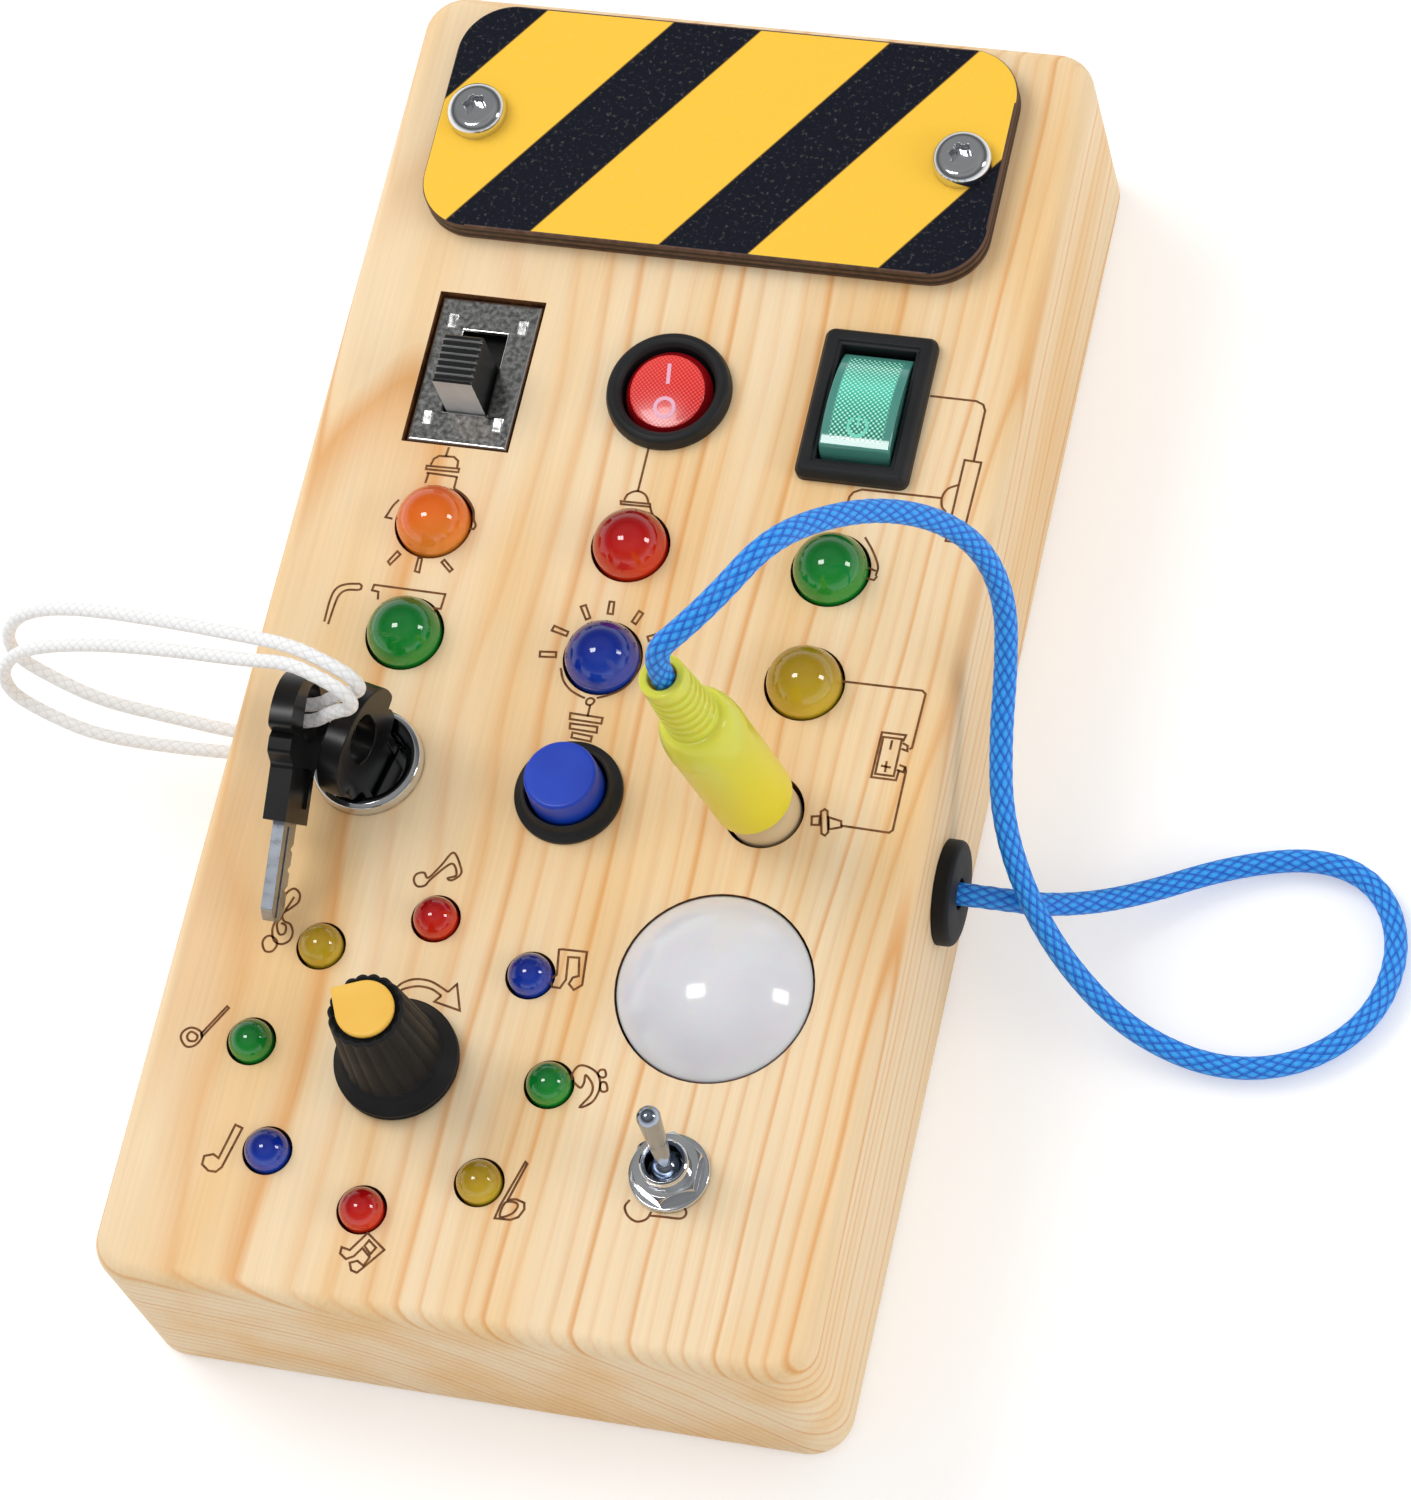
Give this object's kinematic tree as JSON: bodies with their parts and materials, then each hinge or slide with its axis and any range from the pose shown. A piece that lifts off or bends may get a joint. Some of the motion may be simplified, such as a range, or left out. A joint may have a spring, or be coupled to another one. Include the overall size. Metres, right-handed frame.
{
  "type": "toddler busy board",
  "caption": "Wooden busy board: switches, lamps, a turning selector, a key lock, a plug on a cord and a striped plate set in a hollow pine block.",
  "frame": {"origin": "centre of the back face, on the surface that the board lies on", "axes": "+X to the right of the front face, +Y along the board towards the striped plate, +Z out of the front face"},
  "size_m": [0.1881, 0.185, 0.0823],
  "materials": {
    "pine": "sanded, lightly oiled",
    "plywood": "sanded",
    "yellow_plate": "printed, satin",
    "chrome": "polished",
    "nickel": "plated, mottled",
    "steel": "satin",
    "black_plastic": "moulded",
    "gloss_black": "moulded, glossy",
    "red_lens": "translucent moulding",
    "orange_lens": "translucent moulding",
    "green_lens": "translucent moulding",
    "clear_green_lens": "translucent moulding",
    "blue_lens": "translucent moulding",
    "yellow_lens": "translucent moulding",
    "opal": "opal moulding",
    "blue_plastic": "glossy moulding",
    "yellow_plastic": "moulded",
    "lime_plastic": "translucent moulding",
    "beige_plastic": "moulded",
    "black_rubber": "moulded",
    "blue_braid": "braided sleeve",
    "white_braid": "braided",
    "cell_jacket": "printed sleeve",
    "circuit": "coated laminate"
  },
  "bodies": {
    "board": {"wooden_body": "pine", "back_panel": "plywood", "back_panel_screws": "steel", "battery_box": "black_plastic", "battery_cells": "cell_jacket", "battery_contacts": "nickel", "hazard_plate": "yellow_plate", "plate_screws": "chrome", "lamp_orange": "orange_lens", "lamp_red": "red_lens", "lamps_green": "green_lens", "lamp_blue": "blue_lens", "lamp_yellow": "yellow_lens", "small_lamps_red": "red_lens", "small_lamps_blue": "blue_lens", "small_lamps_green": "green_lens", "small_lamps_yellow": "yellow_lens", "slide_switch_plate": "nickel", "slide_switch_case": "black_plastic", "round_rocker_bezel": "black_plastic", "green_rocker_bezel": "black_plastic", "push_button_housing": "gloss_black", "push_button_spring": "steel", "push_button_nut": "black_plastic", "lock_housing": "chrome", "lock_nut": "nickel", "rotary_switch_body": "black_plastic", "rotary_switch_nut": "nickel", "night_light_dome": "opal", "night_light_board": "circuit", "toggle_case": "black_plastic", "toggle_bushing": "chrome", "toggle_washer": "chrome", "toggle_nut": "chrome", "plug_socket": "black_plastic", "circuit_board": "circuit", "board_posts": "black_plastic", "cord_grommet": "black_rubber", "blue_cord": "blue_braid", "key_cord_first_strand": "white_braid", "key_cord_second_strand": "white_braid", "key_cord_stop_knot": "white_braid"},
    "slide_knob": {"slide_switch_knob": "black_plastic"},
    "red_rocker": {"round_rocker": "red_lens"},
    "clear_rocker": {"green_rocker": "clear_green_lens"},
    "selector": {"selector_knob": "black_plastic", "knob_shaft": "nickel", "knob_pointer_cap": "yellow_plastic"},
    "toggle": {"toggle_lever": "chrome"},
    "button": {"push_button_cap": "blue_plastic"},
    "lock_key": {"lock_plug": "nickel", "lock_key_head": "gloss_black", "lock_key_blade": "steel"},
    "spare_key": {"spare_key_head": "gloss_black", "spare_key_blade": "steel", "key_cord_knot": "white_braid"},
    "cord_plug": {"plug_body": "lime_plastic", "plug_tip": "beige_plastic"},
    "battery_cover": {"battery_door": "black_plastic", "battery_door_screw": "steel"}
  },
  "joints": [
    {"name": "slide_switch_travel", "type": "slide", "parent": "board", "child": "slide_knob", "axis": [0, 1, 0], "range_m": [0, 0.0042]},
    {"name": "round_rocker_tip", "type": "hinge", "parent": "board", "child": "red_rocker", "pos_m": [0.0002, 0.036, 0.0298], "axis": [1, 0, 0], "range_deg": [-18, 0]},
    {"name": "green_rocker_tip", "type": "hinge", "parent": "board", "child": "clear_rocker", "pos_m": [0.0266, 0.0367, 0.0298], "axis": [1, 0, 0], "range_deg": [0, 18]},
    {"name": "selector_turn", "type": "hinge", "parent": "board", "child": "selector", "pos_m": [-0.013, -0.0598, 0.033], "axis": [0, 0, 1], "range_deg": [-337.5, 0]},
    {"name": "toggle_throw", "type": "hinge", "parent": "board", "child": "toggle", "pos_m": [0.0241, -0.0689, 0.0332], "axis": [0.9659, 0.2588, 0], "range_deg": [0, 25]},
    {"name": "button_press", "type": "slide", "parent": "board", "child": "button", "axis": [0, 0, -1], "range_m": [0, 0.0025], "stiffness_N_per_m": 700, "springref_m": -0.0007, "deforming": ["push_button_spring"]},
    {"name": "key_turn", "type": "hinge", "parent": "board", "child": "lock_key", "pos_m": [-0.0268, -0.0207, 0.028], "axis": [0, 0, 1], "range_deg": [-90, 0], "deforming": ["key_cord_first_strand", "key_cord_second_strand"]},
    {"name": "spare_key_swing", "type": "hinge", "parent": "lock_key", "child": "spare_key", "pos_m": [-0.0331, -0.0198, 0.04289], "axis": [-1, 0, 0], "range_deg": [0, 35], "deforming": ["key_cord_first_strand", "key_cord_second_strand"]},
    {"name": "plug_pull", "type": "slide", "parent": "board", "child": "cord_plug", "axis": [-0.1478, 0, 0.989], "range_m": [0, 0.03], "deforming": ["blue_cord"]},
    {"name": "battery_cover_lift", "type": "slide", "parent": "board", "child": "battery_cover", "axis": [0, 0, -1], "range_m": [0, 0.012]}
  ]
}
